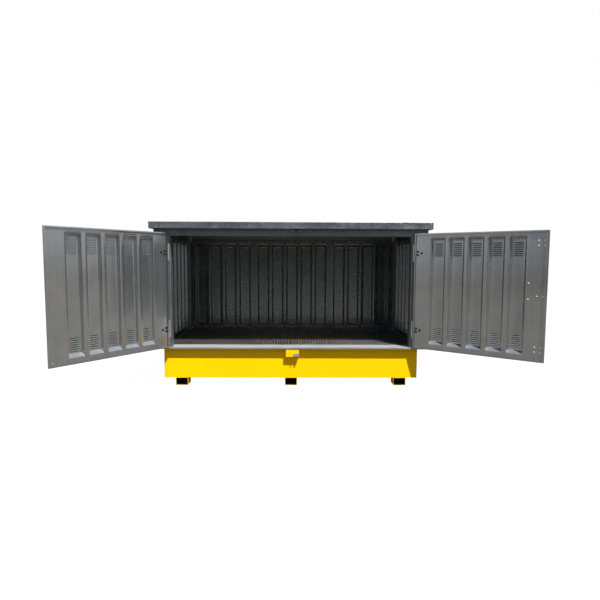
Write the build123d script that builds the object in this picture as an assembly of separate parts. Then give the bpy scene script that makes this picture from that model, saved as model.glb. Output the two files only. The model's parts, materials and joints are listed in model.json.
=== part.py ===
from build123d import *
import os

# Spill containment pallet: a welded sump on six feet, with lift-out gratings, under a housing of
# pressed galvanised sheet with two hinged doors and a pair of sliding lock rods.
# Millimetres. Origin on the floor at the middle of the sump's footprint, +X right, +Y to the rear,
# +Z up. The doors face -Y.

os.makedirs("parts", exist_ok=True)

# ---------------------------------------------------------------- driving dimensions
# sump
SUMP_W = 2910
SUMP_D = 1400
SUMP_Z0 = 90
SUMP_Z1 = 430
SUMP_T = 3
SUMP_RIM_Y = 45
SUMP_RIM_X = 15
SUMP_CORNER_R = 8
MOUTH_DEPTH = 50

# feet
FOOT_W = 140
FOOT_DEPTH = 140
FOOT_T = 4
FOOT_X = 1256
FOOT_CORNER_R = 8

# gratings and the bearers under them
GRATE_Z0 = 418
GRATE_Z1 = 458
GRATE_Y0 = -560
GRATE_Y1 = 636
GRATE_HALF = 1436
GRATE_COUNT = 4
GRATE_GAP = 4
BAR_T = 4
BAR_PITCH = 34
CROSS_W = 5
CROSS_H = 8
CROSS_PITCH = 74
CROSS_INSET = 1
BEARER_W = 60
BEARER_H = 80
BEARER_T = 4
BEARER_Y = [-570, 38, 630]
REST_GAP = 0.5

# housing
BASE_Z0 = 430
BASE_Z1 = 450
HOUSE_X = 1540
HOUSE_Y0 = -752
HOUSE_Y1 = 750
SILL_Y1 = -564
RAIL_X0 = 1440
RAIL_Y0 = 640
FOLD_T = 3
POST_CORNER_R = 5
RAIL_WEB_INSET_Y = 10
RAIL_WEB_INSET_X = 5
POST_FACE_Y = -735
POST_Y1 = -640
POST_X0 = 1352
REAR_POST = 100
HEADER_Z0 = 1710
HEADER_Z1 = 1786
RAIL_DEPTH = 60

# pressed sheet
SKIN = 2
CHANNEL_MOUTH = 156
CHANNEL_RUN = 15
CHANNEL_DEPTH = 35
CHANNEL_PITCH = 203
CHANNEL_END = 30
WALL_X = 1462
WALL_Y = 682
REAR_SPLIT = 507.5
WALL_MARGIN = 55

# louvres
LOUVRE_W = 88
LOUVRE_H = 12
LOUVRE_PITCH = 21.5
LOUVRE_COUNT = 7
LOUVRE_OUT = 7
LOUVRE_TOP_Z = 1624
LOUVRE_BOTTOM_Z = 563
LOUVRE_T = 1.6

# roof
ROOF_X = 1573
ROOF_Y0 = -811
ROOF_Y1 = 800
ROOF_Z0 = 1786
ROOF_Z1 = 1860
ROOF_FALL = 44
ROOF_RIB_H = 20
ROOF_RIB_PITCH = 207
ROOF_T = 2
ROOF_PAN_DROP = 26
ROOF_INSET = 4
RIB_FOOT = 32
RIB_CREST = 20
FLASHING_T = 2
FASCIA_TOP = 46
FASCIA_RETURN = 22
FASCIA_HEM = 10
VERGE_FLANGE = 40
REAR_EDGE_H = 8
PURLIN_Y = [-600, 0]
PURLIN_FLANGE = 40

# doors
HINGE_X = 1373
HINGE_Y = -750
DOOR_START = 14
DOOR_END = 1370
DOOR_Z0 = 452
DOOR_Z1 = 1742
LIP = 13
LIP_W = 15
DOOR_CHANNELS = 5
DOOR_FIRST = 279
CHANNEL_Z0 = 517
CHANNEL_Z1 = 1693
LEFT_OPEN = 126.75
RIGHT_OPEN = 143.13

# hinges
HINGE_Z = [660, 1524]
HINGE_H = 190
KNUCKLE_R = 9
KNUCKLE_MID = 64
KNUCKLE_GAP = 1
PIN_R = 5
PIN_CLEARANCE = 0.05
HINGE_PLATE_T = 4
HINGE_PLATE_W = 46
STRAP_T = 4
STRAP_LEN = 116
STRAP_BOLTS = [(50, 19), (50, -19), (95, 0)]
BOLT_R = 5
BOLT_HOLE_R = 5.3
HEAD_R = 9
CAP_R = 13.5
CAP_H = 7
HEAD_H = 5
STRAP_ROOT = 2
STRAP_SHOULDER = 66
STRAP_TIP = 14

# lock: two rods that slide on the right leaf's outside, and a pull handle
LOCK_S = 1304
ROD_W = 25
ROD_Y0 = -13
ROD_Y1 = -7
ROD_LOWER = [455, 1096]
ROD_UPPER = [1104, 1681]
ROD_FOOT_END = 1337
ROD_FOOT_H = 24
TAB_T = 6
TAB_OUT = 24
TAB_OFFSET = 142
TAB_R = 8
GUIDE_T = 4
GUIDE_HALF_W = 41
GUIDE_EDGE = 14
SLEEVE_HALF = [36, 130, 36]
GUIDE_Z = [574, 1100, 1618]
GUIDE_ROWS = [[-24, 24], [0], [-24, 24]]
GUIDE_BOLT_X = 27.5
SLEEVE_HALF_W = 20
SLEEVE_Y0 = -17
SLEEVE_T = 3
ROD_CLEARANCE = 1
PADLOCK_HOLE_R = 4
PADLOCK_HOLE_DZ = 82
LOCK_BOLT_R = 4
LOCK_HOLE_R = 4.2
LOCK_HEAD_R = 7
HANDLE_S = 1198
HANDLE_BOLT_Z = [1068, 1226]
HANDLE_GRIP_Y = -52
HANDLE_R = 7
HANDLE_BOSS_R = 16
HANDLE_BOLT_END = -12

# keepers
KEEPER_X = 59
KEEPER_Z = [366, 1763]
KEEPER_T = 3
KEEPER_LUG_X = 25
KEEPER_LUG_T = 4
KEEPER_LIP = 8
KEEPER_FRONT_Y = -768
KEEPER_H = 34
KEEPER_HALF_W = [31, 50]
KEEPER_BOLT_OUT = 40
BRACKET_X0 = -61
BRACKET_X1 = 91
BRACKET_Z0 = 340
BRACKET_Z1 = 424
BRACKET_FACE_Y = -748
BRACKET_T = 4
BRACKET_R = 6


# ---------------------------------------------------------------- helpers
def block(x0, x1, y0, y1, z0, z1):
    """Box between two corners."""
    return Pos((x0 + x1) / 2, (y0 + y1) / 2, (z0 + z1) / 2) * Box(x1 - x0, y1 - y0, z1 - z0)


def upright(x, y, z0, z1, radius):
    """Vertical cylinder."""
    return Pos(x, y, (z0 + z1) / 2) * Cylinder(radius, z1 - z0)


def along_y(x, z, y0, y1, radius):
    """Cylinder along Y."""
    return Pos(x, (y0 + y1) / 2, z) * Rot(90, 0, 0) * Cylinder(radius, y1 - y0)


def prism_z(points, z0, z1):
    """XY outline extruded upwards."""
    return extrude(Pos(0, 0, z0) * Polygon(*points, align=None), z1 - z0, dir=(0, 0, 1))


def prism_x(points, x0, x1):
    """YZ outline extruded along +X."""
    return extrude(Plane.YZ.offset(x0) * Polygon(*points, align=None), x1 - x0, dir=(1, 0, 0))


def prism_y(points, y0, y1):
    """XZ outline extruded along +Y."""
    return extrude(Plane.XZ.offset(-y0) * Polygon(*points, align=None), y1 - y0, dir=(0, 1, 0))


def save(name, shape):
    """Write one node; a list becomes one node of several solids."""
    if isinstance(shape, list):
        shape = Compound(children=shape)
    export_step(shape, f"parts/{name}.step")


def both_sides(shape):
    """The shape for +X and its mirror image for -X."""
    return [("right", shape), ("left", mirror(shape, about=Plane.YZ))]


# ---------------------------------------------------------------- pressed sheet
def channel_points(centre, half_mouth, run, skin):
    """Section of a pressed channel; skin lies outside the formed surface, towards -Y."""
    slope = run / CHANNEL_DEPTH
    top = half_mouth + skin * (1 + slope**2) ** 0.5
    floor = top - (CHANNEL_DEPTH + skin) * slope
    depth = CHANNEL_DEPTH + skin
    return [(centre - top, 0), (centre + top, 0), (centre + floor, -depth), (centre - floor, -depth)]


def channel_block(centres, z0, z1, skin):
    """Solid filling all channels of a panel, with slanted ends."""
    half = CHANNEL_MOUTH / 2
    sections = [prism_z(channel_points(c, half, CHANNEL_RUN, skin), z0 - SKIN, z1 + SKIN) for c in centres]
    ends = [(y, z) for z, y in channel_points((z0 + z1) / 2, (z1 - z0) / 2, CHANNEL_END, skin)]
    span = prism_x(ends, centres[0] - CHANNEL_MOUTH, centres[-1] + CHANNEL_MOUTH)
    return [section & span for section in sections]


def pressed_panel(x0, x1, z0, z1, centres, channel_z0, channel_z1):
    """Flat sheet with its inner face at y = 0 and channels pressed out towards -Y."""
    sheet = block(x0, x1, -SKIN, 0, z0, z1)
    sheet += channel_block(centres, channel_z0, channel_z1, SKIN)
    return sheet - channel_block(centres, channel_z0, channel_z1, 0)


# ---------------------------------------------------------------- sump and feet
def sump_tray():
    """Open-topped welded tray with a turned-in rim."""
    x = SUMP_W / 2
    y = SUMP_D / 2
    tray = block(-x, x, -y, y, SUMP_Z0, SUMP_Z1)
    tray = fillet(tray.edges().filter_by(Axis.Z), SUMP_CORNER_R)
    t = SUMP_T
    inside = block(-x + t, x - t, -y + t, y - t, SUMP_Z0 + t, SUMP_Z1 - t)
    inside = fillet(inside.edges().filter_by(Axis.Z), SUMP_CORNER_R - t)
    mouth_x = x - SUMP_RIM_X
    mouth_y = y - SUMP_RIM_Y
    mouth = block(-mouth_x, mouth_x, -mouth_y, mouth_y, SUMP_Z1 - MOUTH_DEPTH, SUMP_Z1 + 1)
    return tray - inside - mouth


def foot(front):
    """Short box section, open at its outer end and closed at its inner end."""
    half = FOOT_W / 2
    t = FOOT_T
    outer = block(-half, half, 0, FOOT_DEPTH, 0, SUMP_Z0)
    outer = fillet(outer.edges().filter_by(Axis.Y), FOOT_CORNER_R)
    inner = block(-half + t, half - t, -1, FOOT_DEPTH - t, t, SUMP_Z0 - t)
    inner = fillet(inner.edges().filter_by(Axis.Y), FOOT_CORNER_R - t)
    shape = Pos(0, -SUMP_D / 2, 0) * (outer - inner)
    if front:
        return shape
    return mirror(shape, about=Plane.XZ)


def bearer(y):
    """Rectangular hollow section from end wall to end wall of the sump."""
    x = SUMP_W / 2 - SUMP_T
    z1 = GRATE_Z0 - REST_GAP
    z0 = z1 - BEARER_H
    half = BEARER_W / 2
    t = BEARER_T
    return block(-x, x, y - half, y + half, z0, z1) - block(-x, x, y - half + t, y + half - t, z0 + t, z1 - t)


def grating(width, length):
    """Welded bar grating: bearing bars front to rear, cross bars let into their tops, edge frame."""
    height = GRATE_Z1 - GRATE_Z0
    count = round((width - BAR_T) / BAR_PITCH)
    pitch = (width - BAR_T) / count
    first = -width / 2 + BAR_T / 2 + pitch / 2
    slot = Rectangle(pitch - BAR_T, length - 2 * BAR_T)
    slots = [Pos(first + i * pitch, 0) * slot for i in range(count)]
    shape = extrude(Pos(0, 0, GRATE_Z0) * (Rectangle(width, length) - slots), height)
    rows = round(length / CROSS_PITCH)
    half = width / 2 - CROSS_INSET
    middles = [-length / 2 + (i + 1) * length / rows for i in range(rows - 1)]
    z0 = GRATE_Z1 - CROSS_H
    return shape + [block(-half, half, y - CROSS_W / 2, y + CROSS_W / 2, z0, GRATE_Z1) for y in middles]


# ---------------------------------------------------------------- housing frame
def sill_profile(outer, inner, web):
    """Folded cap: top plate, outer lip, and a web that stands on the sump's rim."""
    side = 1 if inner > outer else -1
    t = FOLD_T * side
    return [
        (outer, BASE_Z0),
        (outer, BASE_Z1),
        (inner, BASE_Z1),
        (inner, BASE_Z1 - FOLD_T),
        (web + t, BASE_Z1 - FOLD_T),
        (web + t, BASE_Z0),
        (web, BASE_Z0),
        (web, BASE_Z1 - FOLD_T),
        (outer + t, BASE_Z1 - FOLD_T),
        (outer + t, BASE_Z0),
    ]


def tube_post(x0, x1, y0, y1):
    """Folded box post."""
    outer = block(x0, x1, y0, y1, BASE_Z1, HEADER_Z1)
    outer = fillet(outer.edges().filter_by(Axis.Z), POST_CORNER_R)
    t = FOLD_T
    inner = block(x0 + t, x1 - t, y0 + t, y1 - t, BASE_Z1 - 1, HEADER_Z1 + 1)
    return outer - inner


def rail_points(face, inward):
    """C-section of a top rail: web at the outer face, flanges turned inwards."""
    t = FOLD_T * inward
    end = face + RAIL_DEPTH * inward
    return [
        (face, HEADER_Z0),
        (face, HEADER_Z1),
        (end, HEADER_Z1),
        (end, HEADER_Z1 - FOLD_T),
        (face + t, HEADER_Z1 - FOLD_T),
        (face + t, HEADER_Z0 + FOLD_T),
        (end, HEADER_Z0 + FOLD_T),
        (end, HEADER_Z0),
    ]


# ---------------------------------------------------------------- walls
def wall_centres(x0, x1, count):
    """Channel centres spread about the middle of a panel."""
    middle = (x0 + x1) / 2
    return [middle + (i - (count - 1) / 2) * CHANNEL_PITCH for i in range(count)]


def wall_panel(x0, x1, count):
    """Wall panel in its own frame, channels pressed towards -Y."""
    z0 = BASE_Z1
    z1 = HEADER_Z0
    centres = wall_centres(x0, x1, count)
    return pressed_panel(x0, x1, z0, z1, centres, z0 + WALL_MARGIN, z1 - WALL_MARGIN)


# ---------------------------------------------------------------- roof
def roof_z(y):
    """Height of the roof sheet's pan at depth y."""
    share = (y - ROOF_Y0) / (ROOF_Y1 - ROOF_Y0)
    return ROOF_Z1 - ROOF_PAN_DROP - ROOF_FALL * share


def roof_sheet():
    """Trapezoidal sheet, ribs from front to rear, falling to the rear."""
    half = ROOF_X - ROOF_INSET
    count = int(2 * half // ROOF_RIB_PITCH)
    start = -(count - 1) / 2 * ROOF_RIB_PITCH
    h = ROOF_RIB_H
    upper = [(-half, ROOF_T)]
    lower = [(-half, 0)]
    for i in range(count):
        c = start + i * ROOF_RIB_PITCH
        outline = [(c - RIB_FOOT, 0), (c - RIB_CREST, h), (c + RIB_CREST, h), (c + RIB_FOOT, 0)]
        lower += outline
        upper += [(x + (-1 if x < c else 1), z + ROOF_T) for x, z in outline]
    upper.append((half, ROOF_T))
    lower.append((half, 0))
    y0 = ROOF_Y0 + ROOF_INSET
    length = ROOF_Y1 - ROOF_INSET - y0
    run = ROOF_FALL * length / (ROOF_Y1 - ROOF_Y0)
    face = Polygon(*lower, *reversed(upper), align=None)
    start_plane = Plane(origin=(0, y0, roof_z(y0)), x_dir=(1, 0, 0), z_dir=(0, -1, 0))
    return extrude(start_plane * face, amount=length, dir=(0, length, -run))


def fascia():
    """Front fascia: face, top return over the sheet, bottom return with a drip hem."""
    y = ROOF_Y0
    t = FLASHING_T
    points = [
        (y, ROOF_Z0),
        (y, ROOF_Z1),
        (y + FASCIA_TOP, ROOF_Z1),
        (y + FASCIA_TOP, ROOF_Z1 - t),
        (y + t, ROOF_Z1 - t),
        (y + t, ROOF_Z0 + t),
        (y + FASCIA_RETURN - t, ROOF_Z0 + t),
        (y + FASCIA_RETURN - t, ROOF_Z0 + FASCIA_HEM),
        (y + FASCIA_RETURN, ROOF_Z0 + FASCIA_HEM),
        (y + FASCIA_RETURN, ROOF_Z0),
    ]
    return prism_x(points, -ROOF_X, ROOF_X)


def verge():
    """Side flashing on the +X edge, tapering with the fall of the roof."""
    x = ROOF_X
    t = FLASHING_T
    front = (ROOF_Y0 + t, ROOF_Z1)
    rear = (ROOF_Y1, ROOF_Z1 - ROOF_FALL)
    face = prism_x([(front[0], ROOF_Z0), (rear[0], ROOF_Z0), rear, front], x - t, x)
    cap = [front, rear, (rear[0], rear[1] - t), (front[0], front[1] - t)]
    flange = prism_x(cap, x - VERGE_FLANGE, x - t)
    return face + flange - fascia()


def roof_rear_edge():
    """Drip flashing along the rear edge."""
    t = FLASHING_T
    return block(t - ROOF_X, ROOF_X - t, ROOF_Y1 - t, ROOF_Y1, ROOF_Z0, ROOF_Z0 + REAR_EDGE_H)


def purlin(y):
    """Z-shaped purlin between the frame and the roof sheet; y is the rear face of its web's start."""
    t = FOLD_T
    top = roof_z(y + PURLIN_FLANGE) - REST_GAP
    points = [
        (y - PURLIN_FLANGE + t, HEADER_Z1),
        (y + t, HEADER_Z1),
        (y + t, top - t),
        (y + PURLIN_FLANGE, top - t),
        (y + PURLIN_FLANGE, top),
        (y, top),
        (y, HEADER_Z1 + t),
        (y - PURLIN_FLANGE + t, HEADER_Z1 + t),
    ]
    return prism_x(points, ROOF_INSET - HOUSE_X, HOUSE_X - ROOF_INSET)


# ---------------------------------------------------------------- door parts in the door's own frame
# The door's frame has the hinge axis at x = y = 0, the leaf along +X and its outside towards -Y.
def louvre(s, z, cut):
    """One pressed louvre on a channel floor: its hood, or the space inside the hood."""
    floor = -CHANNEL_DEPTH - SKIN
    half = LOUVRE_W / 2
    low = z - LOUVRE_H / 2
    if cut:
        front = floor - LOUVRE_OUT + LOUVRE_T
        back = -CHANNEL_DEPTH + 1
        upper = z + LOUVRE_H / 2 - LOUVRE_T
        points = [(back, upper), (floor, upper), (front, low + 0.2), (front, low - 0.1), (back, low - 0.1)]
        return prism_x(points, s - half, s + half)
    front = floor - LOUVRE_OUT
    upper = z + LOUVRE_H / 2
    points = [(floor + 1, upper), (floor, upper), (front, low + 1), (front, low), (floor + 1, low)]
    return prism_x(points, s - half - LOUVRE_T, s + half + LOUVRE_T)


def door_centres():
    """Centres of the leaf's channels."""
    return [DOOR_FIRST + i * CHANNEL_PITCH for i in range(DOOR_CHANNELS)]


def louvre_places():
    """Centres of all louvres of one leaf."""
    rows = [LOUVRE_TOP_Z - i * LOUVRE_PITCH for i in range(LOUVRE_COUNT)]
    rows += [LOUVRE_BOTTOM_Z + i * LOUVRE_PITCH for i in range(LOUVRE_COUNT)]
    return [(s, z) for s in door_centres() for z in rows]


def guide_bolt_places():
    """Centres of the bolts of the rod guides."""
    spots = [(z + dz, side) for z, rows in zip(GUIDE_Z, GUIDE_ROWS) for dz in rows for side in (-1, 1)]
    return [(LOCK_S + side * GUIDE_BOLT_X, z) for z, side in spots]


def handle_bolt_places():
    """Centres of the pull handle's bolts."""
    return [(HANDLE_S, z) for z in HANDLE_BOLT_Z]


def hinge_bolt_places():
    """Centres of the bolts of both hinge straps."""
    return [(s, z + dz) for z in HINGE_Z for s, dz in STRAP_BOLTS]


def door_leaf(bolt_holes):
    """Leaf with pressed channels, louvres and a folded edge that stands in towards +Y."""
    s0, s1, z0, z1 = DOOR_START, DOOR_END, DOOR_Z0, DOOR_Z1
    leaf = block(s0, s1, -SKIN, 0, z0, z1)
    leaf += channel_block(door_centres(), CHANNEL_Z0, CHANNEL_Z1, SKIN)
    leaf += [louvre(s, z, False) for s, z in louvre_places()]
    leaf -= channel_block(door_centres(), CHANNEL_Z0, CHANNEL_Z1, 0)
    leaf -= [louvre(s, z, True) for s, z in louvre_places()]
    t = SKIN
    w = LIP_W
    edge = block(s0, s1, 0, LIP, z0, z1)
    edge -= block(s0 + t, s1 - t, -1, LIP - t, z0 + t, z1 - t)
    edge -= block(s0 + w, s1 - w, -1, LIP + 1, z0 + w, z1 - w)
    leaf += edge
    leaf -= [along_y(s, z, -LIP, LIP, BOLT_HOLE_R) for s, z in hinge_bolt_places()]
    return leaf - [along_y(s, z, -LIP, LIP, LOCK_HOLE_R) for s, z in bolt_holes]


def hinge_strap(z):
    """Strap bolted to the leaf's outside, with the middle knuckle round the pin."""
    y1 = -SKIN
    y0 = y1 - STRAP_T
    half = KNUCKLE_MID / 2 - KNUCKLE_GAP
    outline = [
        (STRAP_ROOT, z - half),
        (STRAP_SHOULDER, z - half),
        (STRAP_LEN, z - STRAP_TIP),
        (STRAP_LEN, z + STRAP_TIP),
        (STRAP_SHOULDER, z + half),
        (STRAP_ROOT, z + half),
    ]
    strap = prism_y(outline, y0, y1)
    strap += upright(0, 0, z - half, z + half, KNUCKLE_R)
    strap -= upright(0, 0, z - half - 1, z + half + 1, PIN_R + PIN_CLEARANCE)
    return strap - [along_y(s, z + dz, y0 - 1, y1 + 1, BOLT_HOLE_R) for s, dz in STRAP_BOLTS]


def hinge_bolt(s, z):
    """Coach bolt through strap and leaf, with a round cap over its nut on the inside."""
    outside = -SKIN - STRAP_T
    bolt = along_y(s, z, outside, 0, BOLT_R) + along_y(s, z, outside - HEAD_H, outside, HEAD_R)
    return bolt + along_y(s, z, 0, CAP_H, CAP_R)


def hinge_plate(z):
    """Frame plate on the post's face with the two outer knuckles."""
    back = POST_FACE_Y - HINGE_Y
    z0 = z - HINGE_H / 2
    z1 = z + HINGE_H / 2
    plate = block(-HINGE_PLATE_W, HINGE_PLATE_T, back - HINGE_PLATE_T, back, z0, z1)
    plate += block(-KNUCKLE_R, -STRAP_ROOT, 0, back, z0, z1)
    plate += upright(0, 0, z0, z1, KNUCKLE_R)
    plate -= upright(0, 0, z0 - 1, z1 + 1, PIN_R)
    gap = KNUCKLE_R + 1
    return plate - block(-gap, gap, -gap, back - HINGE_PLATE_T, z - KNUCKLE_MID / 2, z + KNUCKLE_MID / 2)


def hinge_pin(z):
    """Headed pin, held in the frame plate's knuckles."""
    pin = upright(0, 0, z - HINGE_H / 2, z + HINGE_H / 2, PIN_R)
    return pin + upright(0, 0, z + HINGE_H / 2, z + HINGE_H / 2 + 4, PIN_R + 3)


# ---------------------------------------------------------------- lock
def rod_guide(z, rows, sleeve_half):
    """Guide plate on the leaf's outside with a sleeve that the rod slides through."""
    y1 = -SKIN
    y0 = y1 - GUIDE_T
    half = max(rows) + GUIDE_EDGE
    width = SLEEVE_HALF_W
    window = ROD_W / 2 + ROD_CLEARANCE
    guide = block(LOCK_S - GUIDE_HALF_W, LOCK_S + GUIDE_HALF_W, y0, y1, z - half, z + half)
    guide += block(LOCK_S - width, LOCK_S + width, SLEEVE_Y0, y1, z - sleeve_half, z + sleeve_half)
    inside = sleeve_half + 1
    guide -= block(LOCK_S - window, LOCK_S + window, SLEEVE_Y0 + SLEEVE_T, y0, z - inside, z + inside)
    bolts = [(LOCK_S + side * GUIDE_BOLT_X, z + dz) for dz in rows for side in (-1, 1)]
    return guide - [along_y(s, hz, y0 - 1, y1 + 1, LOCK_HOLE_R) for s, hz in bolts]


def padlock_hole(z):
    """Cross hole through both sides of the middle sleeve, behind the end of a thrown rod."""
    y = (ROD_Y0 + ROD_Y1) / 2
    return Pos(LOCK_S, y, z) * Rot(0, 90, 0) * Cylinder(PADLOCK_HOLE_R, 2 * GUIDE_HALF_W)


def guide_bolt(s, z):
    """Round-headed bolt through a guide and the leaf, with its nut on the inside."""
    outside = -SKIN - GUIDE_T
    bolt = along_y(s, z, outside, LOCK_BOLT_R, LOCK_BOLT_R)
    bolt += along_y(s, z, outside - LOCK_BOLT_R, outside, LOCK_HEAD_R)
    return bolt + along_y(s, z, 0, 5.5, LOCK_HEAD_R)


def handle_bolt(s, z):
    """Bolt from the inside into a foot of the pull handle."""
    return along_y(s, z, HANDLE_BOLT_END, 0, LOCK_BOLT_R) + along_y(s, z, 0, 5.5, LOCK_HEAD_R)


def lock_rod(z0, z1, foot_z0, tab_z):
    """Flat rod with a wide foot at its outer end and a bent finger tab near its inner end."""
    s0 = LOCK_S - ROD_W / 2
    s1 = LOCK_S + ROD_W / 2
    rod = block(s0, s1, ROD_Y0, ROD_Y1, z0, z1)
    rod += block(s0, ROD_FOOT_END, ROD_Y0, ROD_Y1, foot_z0, foot_z0 + ROD_FOOT_H)
    tab = block(s0, s1, ROD_Y0 - TAB_OUT, ROD_Y0, tab_z - TAB_T / 2, tab_z + TAB_T / 2)
    return rod + fillet(tab.edges().filter_by(Axis.Z).sort_by(Axis.Y)[:2], TAB_R)


def pull_handle():
    """Round-bar pull handle on two bosses."""
    y1 = -SKIN
    z0, z1 = HANDLE_BOLT_Z
    handle = upright(HANDLE_S, HANDLE_GRIP_Y, z0, z1, HANDLE_R)
    for z in HANDLE_BOLT_Z:
        handle += along_y(HANDLE_S, z, HANDLE_GRIP_Y, y1, HANDLE_R)
        handle += along_y(HANDLE_S, z, y1 - GUIDE_T, y1, HANDLE_BOSS_R)
        handle += Pos(HANDLE_S, HANDLE_GRIP_Y, z) * Sphere(HANDLE_R)
    return handle - [along_y(HANDLE_S, z, HANDLE_BOLT_END - 1, y1 + 1, LOCK_HOLE_R) for z in HANDLE_BOLT_Z]


def keeper(face_y, z, half_w):
    """Keeper plate with two hooked lugs that the foot of a rod slides behind."""
    z0 = z - KEEPER_H / 2
    z1 = z + KEEPER_H / 2
    back = face_y - KEEPER_T
    plate = block(KEEPER_X - half_w, KEEPER_X + half_w, back, face_y, z0, z1)
    for side in (-1, 1):
        near = KEEPER_X + side * KEEPER_LUG_X
        far = near + side * KEEPER_LUG_T
        tip = near - side * KEEPER_LIP
        plate += block(min(near, far), max(near, far), KEEPER_FRONT_Y, back, z0 + 3, z1 - 3)
        plate += block(min(tip, near), max(tip, near), KEEPER_FRONT_Y, KEEPER_FRONT_Y + 3, z0 + 3, z1 - 3)
    return plate


def keeper_bracket():
    """Welded box on the sump's front that carries the lower keeper."""
    x0, x1, z0, z1 = BRACKET_X0, BRACKET_X1, BRACKET_Z0, BRACKET_Z1
    y0 = BRACKET_FACE_Y
    y1 = -SUMP_D / 2
    t = BRACKET_T
    box = block(x0, x1, y0, y1, z0, z1)
    box = fillet(box.edges().filter_by(Axis.Z).sort_by(Axis.Y)[:2], BRACKET_R)
    return box - block(x0 + t, x1 - t, y0 + t, y1 + 1, z0 - 1, z1 - t)


def upper_keeper():
    """Upper keeper with its two bolt heads."""
    z = KEEPER_Z[1]
    y1 = POST_FACE_Y - KEEPER_T
    spots = [KEEPER_X + side * KEEPER_BOLT_OUT for side in (-1, 1)]
    heads = [along_y(x, z, y1 - HEAD_H, y1, LOCK_HEAD_R) for x in spots]
    return keeper(POST_FACE_Y, z, KEEPER_HALF_W[1]) + heads


# ---------------------------------------------------------------- build
def place_left(shape):
    """Door frame to object frame, left door, opened to its resting angle."""
    return Location((-HINGE_X, HINGE_Y, 0), (0, 0, -LEFT_OPEN)) * shape


def place_right(shape):
    """Door frame to object frame, right door, opened to its resting angle."""
    return Location((HINGE_X, HINGE_Y, 0), (0, 0, RIGHT_OPEN)) * mirror(shape, about=Plane.YZ)


def fixed_left(shape):
    """Door frame to object frame for pieces that stay on the left post."""
    return Pos(-HINGE_X, HINGE_Y, 0) * shape


def fixed_right(shape):
    """Door frame to object frame for pieces that stay on the right post."""
    return Pos(HINGE_X, HINGE_Y, 0) * mirror(shape, about=Plane.YZ)


def build_sump():
    save("sump_tray", sump_tray())
    for row, front in (("front", True), ("rear", False)):
        for name, x in (("left", -FOOT_X), ("middle", 0), ("right", FOOT_X)):
            save(f"foot_{row}_{name}", Pos(x, 0, 0) * foot(front))
    save("bearers", [bearer(y) for y in BEARER_Y])
    width = (2 * GRATE_HALF - (GRATE_COUNT - 1) * GRATE_GAP) / GRATE_COUNT
    panel = grating(width, GRATE_Y1 - GRATE_Y0)
    for i in range(GRATE_COUNT):
        x = -GRATE_HALF + width / 2 + i * (width + GRATE_GAP)
        save(f"grating_{i + 1}", Pos(x, (GRATE_Y0 + GRATE_Y1) / 2, 0) * panel)
    save("keeper_bracket", keeper_bracket())
    save("keeper_lower", keeper(BRACKET_FACE_Y, KEEPER_Z[0], KEEPER_HALF_W[0]))


def build_frame():
    sump_x = SUMP_W / 2
    sump_y = SUMP_D / 2
    sill = sill_profile(HOUSE_Y0, SILL_Y1, RAIL_WEB_INSET_Y - sump_y)
    save("front_sill", prism_x(sill, -HOUSE_X, HOUSE_X))
    rear = sill_profile(HOUSE_Y1, RAIL_Y0, sump_y - RAIL_WEB_INSET_Y)
    save("rear_base_rail", prism_x(rear, -HOUSE_X, HOUSE_X))
    side = sill_profile(HOUSE_X, RAIL_X0, sump_x - RAIL_WEB_INSET_X)
    for name, rail in both_sides(prism_y(side, SILL_Y1, RAIL_Y0)):
        save(f"side_base_rail_{name}", rail)
    for name, post in both_sides(tube_post(POST_X0, HOUSE_X, POST_FACE_Y, POST_Y1)):
        save(f"post_front_{name}", post)
    corner = tube_post(HOUSE_X - REAR_POST, HOUSE_X, HOUSE_Y1 - REAR_POST, HOUSE_Y1)
    for name, post in both_sides(corner):
        save(f"post_rear_{name}", post)
    save("header", prism_x(rail_points(POST_FACE_Y, 1), -POST_X0, POST_X0))
    rear_x = HOUSE_X - REAR_POST
    save("top_rail_rear", prism_x(rail_points(HOUSE_Y1, -1), -rear_x, rear_x))
    rail = prism_y(rail_points(HOUSE_X, -1), POST_Y1, HOUSE_Y1 - REAR_POST)
    for name, side_rail in both_sides(rail):
        save(f"top_rail_{name}", side_rail)
    save("keeper_upper", upper_keeper())


def build_walls():
    turn_rear = Location((0, WALL_Y, 0), (0, 0, 180))
    save("rear_wall_middle", turn_rear * wall_panel(-REAR_SPLIT, REAR_SPLIT, 5))
    edge = HOUSE_X - REAR_POST
    outer = turn_rear * wall_panel(-edge, -REAR_SPLIT, 4)
    for name, panel in both_sides(outer):
        save(f"rear_wall_{name}", panel)
    side = Location((WALL_X, 0, 0), (0, 0, 90)) * wall_panel(POST_Y1, HOUSE_Y1 - REAR_POST, 6)
    for name, panel in both_sides(side):
        save(f"side_wall_{name}", panel)


def build_roof():
    save("roof_sheet", roof_sheet())
    save("roof_fascia", fascia())
    for name, flashing in both_sides(verge()):
        save(f"roof_verge_{name}", flashing)
    save("roof_rear_edge", roof_rear_edge())
    save("roof_purlins", [purlin(y) for y in PURLIN_Y])


def build_doors():
    leaf_left = door_leaf([])
    leaf_right = door_leaf(guide_bolt_places() + handle_bolt_places())
    save("door_leaf_left", place_left(leaf_left))
    save("door_leaf_right", place_right(leaf_right))
    for side, place, fix in (("left", place_left, fixed_left), ("right", place_right, fixed_right)):
        for level, z in zip(("lower", "upper"), HINGE_Z):
            save(f"hinge_strap_{side}_{level}", place(hinge_strap(z)))
            save(f"hinge_plate_{side}_{level}", fix(hinge_plate(z)))
        save(f"hinge_bolts_{side}", [place(hinge_bolt(s, z)) for s, z in hinge_bolt_places()])
    pins = [fix(hinge_pin(z)) for fix in (fixed_left, fixed_right) for z in HINGE_Z]
    save("hinge_pins", pins)


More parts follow.
